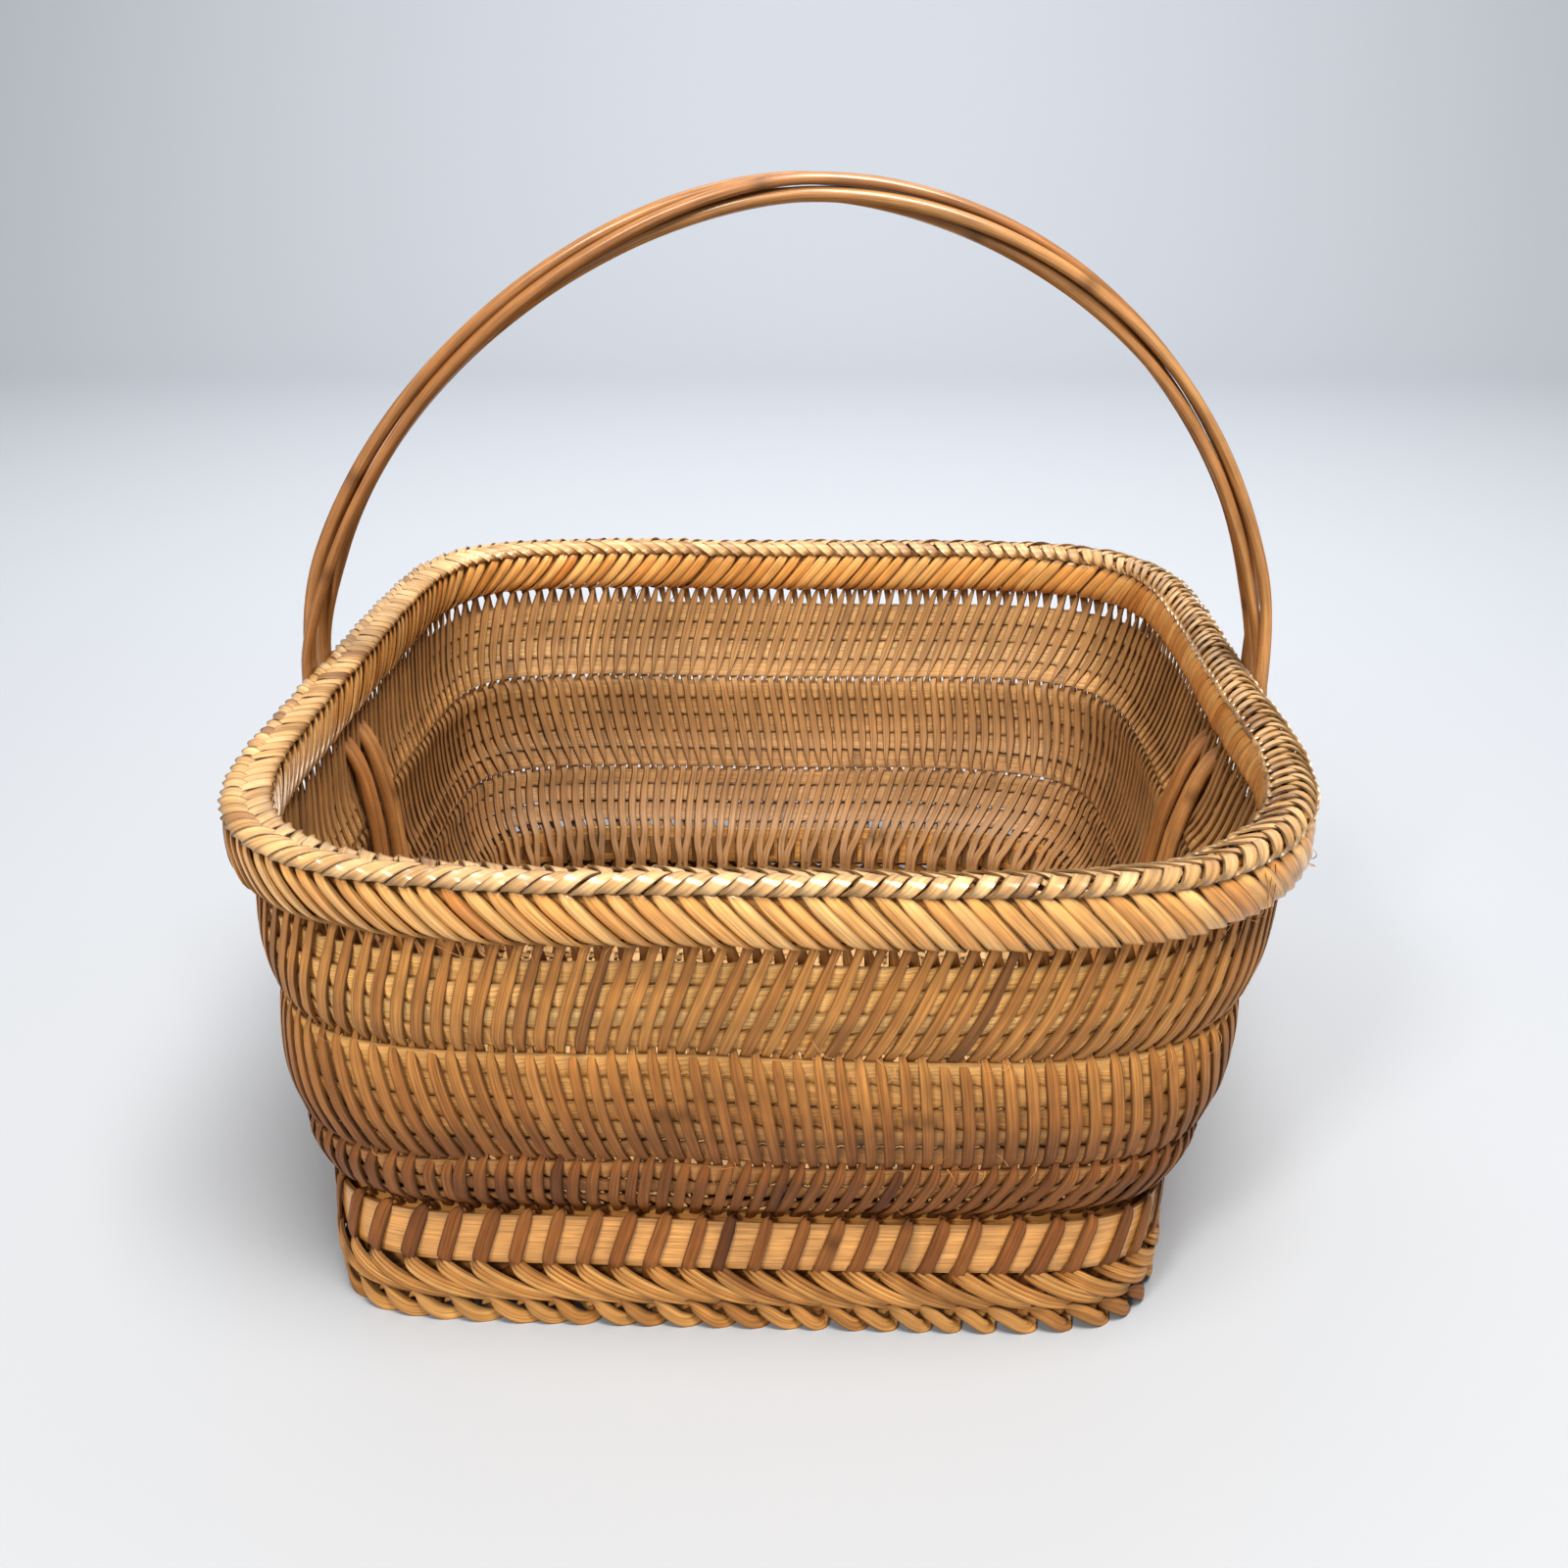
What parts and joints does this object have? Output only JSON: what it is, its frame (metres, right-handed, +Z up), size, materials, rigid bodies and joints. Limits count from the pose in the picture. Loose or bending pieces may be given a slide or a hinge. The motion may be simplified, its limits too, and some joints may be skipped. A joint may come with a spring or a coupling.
{
  "type": "woven bamboo basket",
  "caption": "Open squarish basket of split bamboo with a tapered wall in bulging tiers, a lashed and plaited rim, a ringed foot and a fixed cane arch handle.",
  "frame": {"origin": "centre of the bounding box's bottom face, on the surface the basket stands on", "axes": "+Z up through the mouth, X across the basket in the plane of the handle, -Y to the front"},
  "size_m": [0.3794, 0.38, 0.38],
  "materials": {
    "foot_plait": "satin split bamboo, worn and frayed where it stands",
    "weaver_splint": "satin split bamboo, pale outer skin",
    "tie_splint": "satin split bamboo, dark",
    "stake_splint": "satin split bamboo, dark",
    "floor_splint": "matte split bamboo, dusty",
    "lashing_splint": "glossy bamboo skin",
    "handle_cane": "satin cane"
  },
  "bodies": {
    "root": {"foot_braid": "foot_plait", "foot_leaf_row": "foot_plait", "foot_hoop": "weaver_splint", "foot_ties": "tie_splint", "lower_weaver_1": "weaver_splint", "lower_weaver_2": "weaver_splint", "lower_weaver_3": "weaver_splint", "middle_weaver_1": "weaver_splint", "middle_weaver_2": "weaver_splint", "middle_weaver_3": "weaver_splint", "middle_weaver_4": "weaver_splint", "middle_weaver_5": "weaver_splint", "upper_weaver_1": "weaver_splint", "upper_weaver_2": "weaver_splint", "upper_weaver_3": "weaver_splint", "upper_weaver_4": "weaver_splint", "stakes_right_leaning": "stake_splint", "stakes_left_leaning": "stake_splint", "floor_mat": "floor_splint", "rim_outer_hoop": "weaver_splint", "rim_inner_hoop": "weaver_splint", "rim_lashing": "lashing_splint", "rim_braid": "lashing_splint", "handle_cane_1": "handle_cane", "handle_cane_2": "handle_cane", "handle_cane_3": "handle_cane", "handle_cane_4": "handle_cane"}
  },
  "joints": []
}
